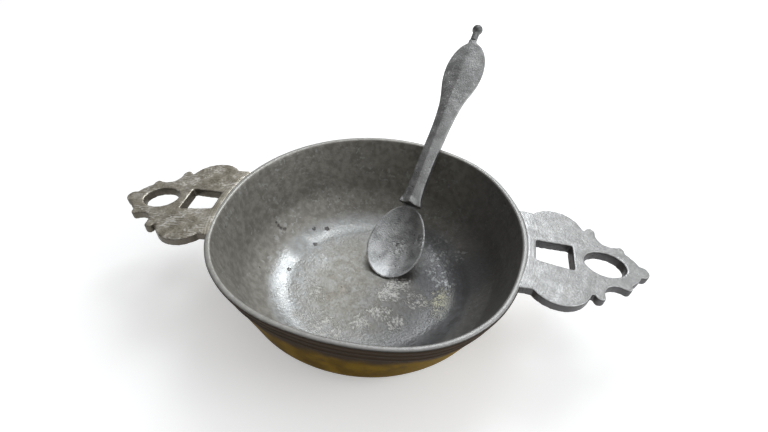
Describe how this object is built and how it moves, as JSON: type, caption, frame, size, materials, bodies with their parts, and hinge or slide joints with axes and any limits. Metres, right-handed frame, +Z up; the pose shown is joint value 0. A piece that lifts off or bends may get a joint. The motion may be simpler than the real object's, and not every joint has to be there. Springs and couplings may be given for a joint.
{
  "type": "porringer",
  "caption": "Round pewter porringer with flat pierced ear handles soldered below its rim, and a loose long-stemmed spoon that stands in the bowl against the lip.",
  "frame": {"origin": "centre of the bowl's flat base, on the surface that it stands on", "axes": "+Z up along the bowl's axis, +X along the right ear, +Y away from the user, towards the side where the spoon leans"},
  "size_m": [0.2596, 0.2101, 0.093],
  "materials": {
    "bowl_pewter": "old turned pewter, dull grey with pale oxide inside and a warm brown patina below",
    "right_ear_pewter": "cast pewter, pale matte grey with file marks",
    "left_ear_pewter": "cast pewter, dull brownish grey with worn pale patches",
    "solder": "soft solder, dull and uneven",
    "spoon_pewter": "cast pewter, worn smooth, slightly shinier than the bowl"
  },
  "bodies": {
    "porringer": {"porringer_bowl": "bowl_pewter", "right_ear": "right_ear_pewter", "left_ear": "left_ear_pewter", "right_ear_solder": "solder", "left_ear_solder": "solder"},
    "spoon": {"spoon_bowl": "spoon_pewter", "spoon_stem": "spoon_pewter", "spoon_knop": "spoon_pewter"}
  },
  "joints": [
    {"name": "spoon_lift", "type": "slide", "parent": "porringer", "child": "spoon", "axis": [0, 0, 1], "range_m": [0, 0.1]}
  ]
}
